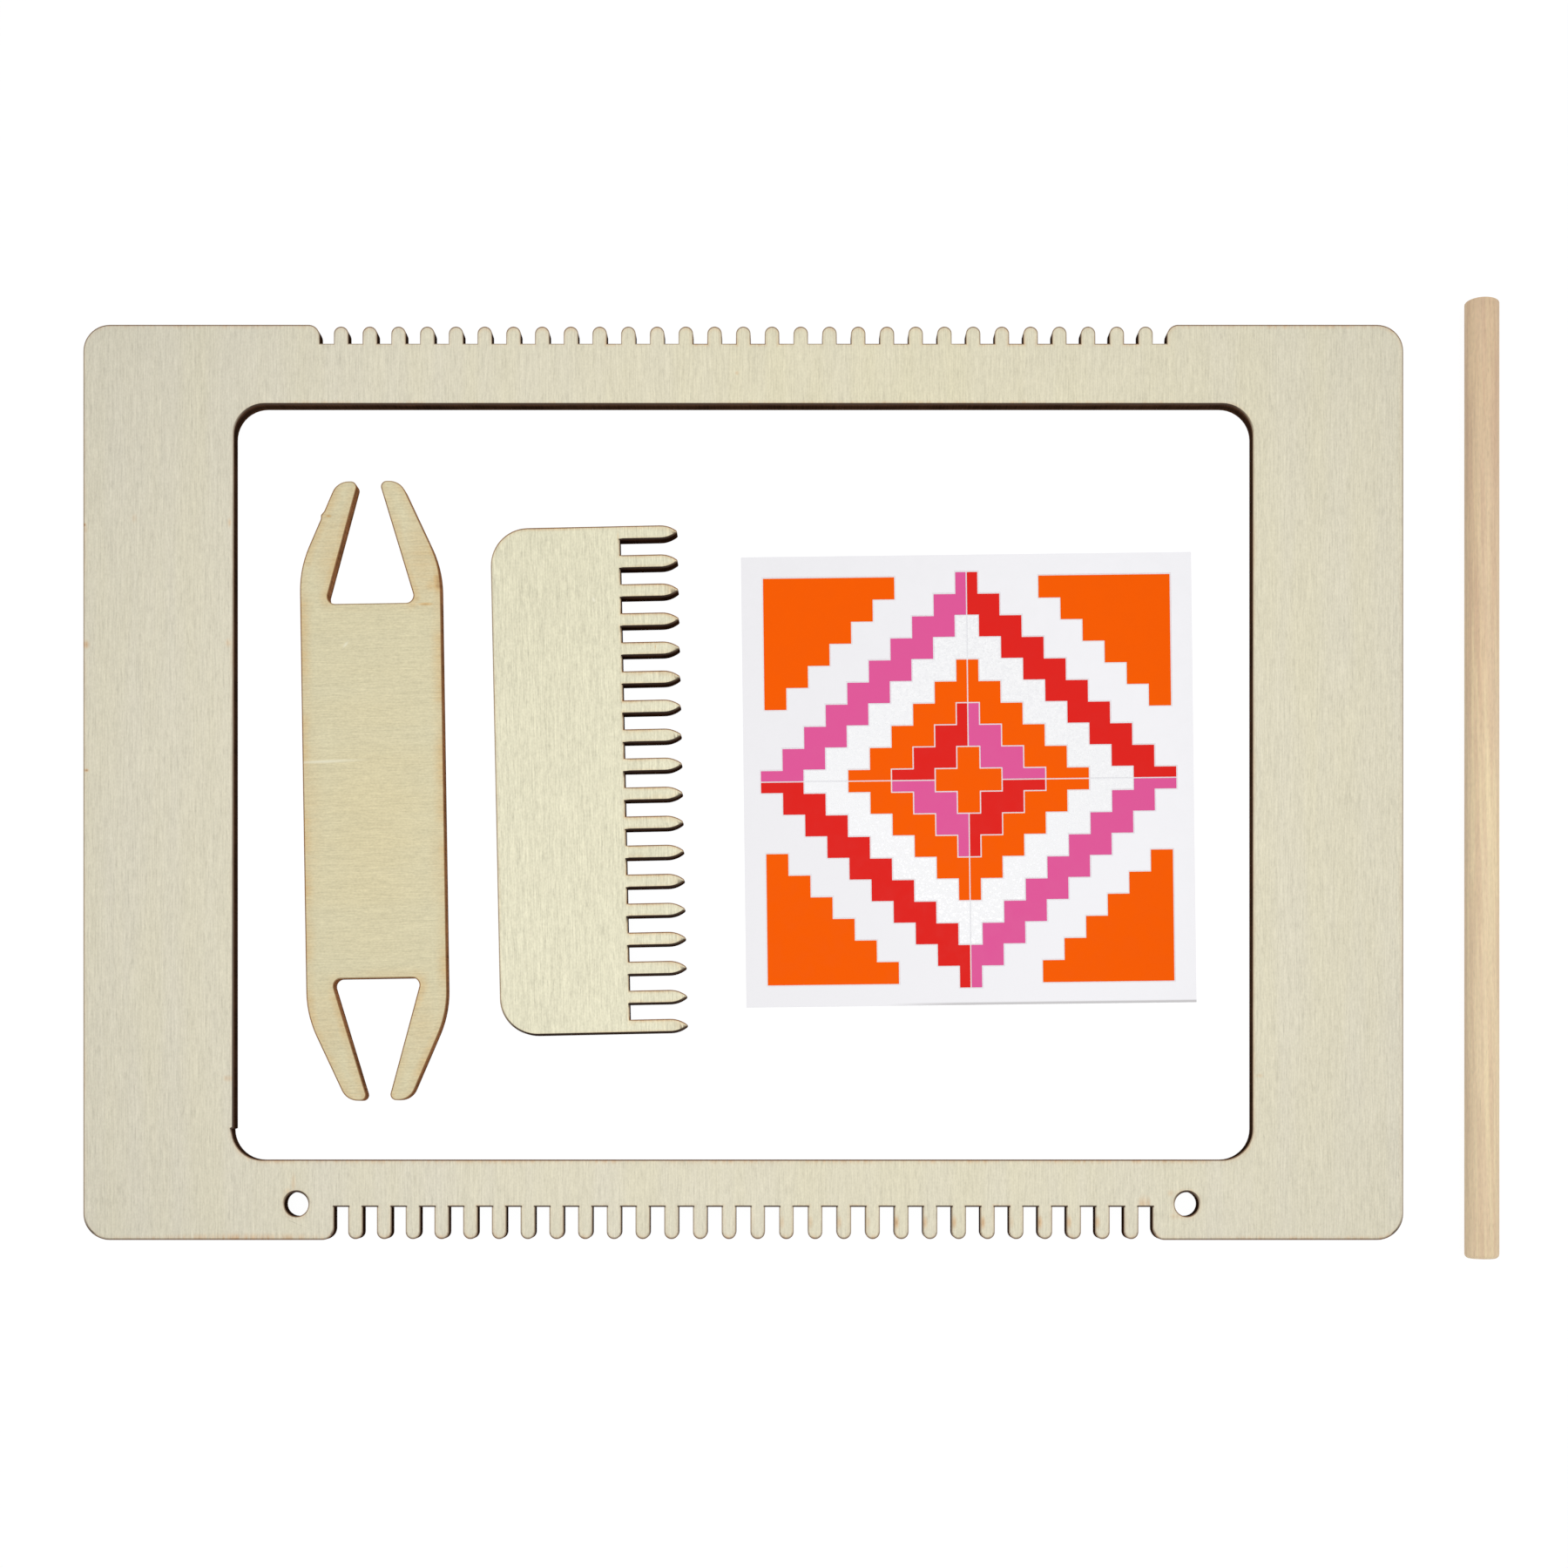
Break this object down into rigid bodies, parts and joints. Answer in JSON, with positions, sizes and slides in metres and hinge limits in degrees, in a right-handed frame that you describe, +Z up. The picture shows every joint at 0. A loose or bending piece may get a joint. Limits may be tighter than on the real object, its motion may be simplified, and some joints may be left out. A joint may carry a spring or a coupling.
{
  "type": "frame loom",
  "caption": "Flat plywood frame loom with toothed rails, laid out with its notched shuttle, pointed-tooth comb, hanging rod and kiss-cut sticker card.",
  "frame": {"origin": "middle of the kit's footprint, on the table that it lies on", "axes": "+X along the toothed rails towards the hanging rod, +Y towards the rail with short teeth, +Z up from the table"},
  "size_m": [0.3214, 0.217, 0.0075],
  "materials": {
    "frame_plywood": "raw sanded plywood, pale grey-beige, charred at the cut edges",
    "shuttle_plywood": "raw sanded plywood, cream, charred at the cut edges",
    "comb_plywood": "raw sanded plywood, cream-beige, charred at the cut edges",
    "rod_wood": "raw turned wood, tan",
    "liner_paper": "smooth coated white",
    "white_film": "satin white film",
    "orange_sticker": "satin orange film",
    "red_sticker": "satin red film",
    "pink_sticker": "satin pink film",
    "glitter_sticker": "white glitter film"
  },
  "bodies": {
    "frame": {"loom_frame": "frame_plywood"},
    "shuttle": {"shuttle": "shuttle_plywood"},
    "comb": {"comb": "comb_plywood"},
    "rod": {"hanging_rod": "rod_wood"},
    "card": {"card_liner": "liner_paper", "card_surround": "white_film", "sticker_heart": "orange_sticker", "sticker_outer_north_east": "red_sticker", "sticker_outer_north_west": "pink_sticker", "sticker_outer_south_west": "red_sticker", "sticker_outer_south_east": "pink_sticker", "sticker_glitter_north_east": "glitter_sticker", "sticker_glitter_north_west": "glitter_sticker", "sticker_glitter_south_west": "glitter_sticker", "sticker_glitter_south_east": "glitter_sticker", "sticker_middle_north_east": "orange_sticker", "sticker_middle_north_west": "orange_sticker", "sticker_middle_south_west": "orange_sticker", "sticker_middle_south_east": "orange_sticker", "sticker_inner_north_east": "pink_sticker", "sticker_inner_north_west": "red_sticker", "sticker_inner_south_west": "pink_sticker", "sticker_inner_south_east": "red_sticker", "sticker_corner_north_east": "orange_sticker", "sticker_corner_north_west": "orange_sticker", "sticker_corner_south_west": "orange_sticker", "sticker_corner_south_east": "orange_sticker"}
  },
  "joints": [
    {"name": "shuttle_lift", "type": "slide", "parent": "frame", "child": "shuttle", "axis": [0, 0, 1], "range_m": [0, 0.04]},
    {"name": "comb_lift", "type": "slide", "parent": "frame", "child": "comb", "axis": [0, 0, 1], "range_m": [0, 0.04]},
    {"name": "rod_lift", "type": "slide", "parent": "frame", "child": "rod", "axis": [0, 0, 1], "range_m": [0, 0.04]},
    {"name": "card_lift", "type": "slide", "parent": "frame", "child": "card", "axis": [0, 0, 1], "range_m": [0, 0.04]}
  ]
}
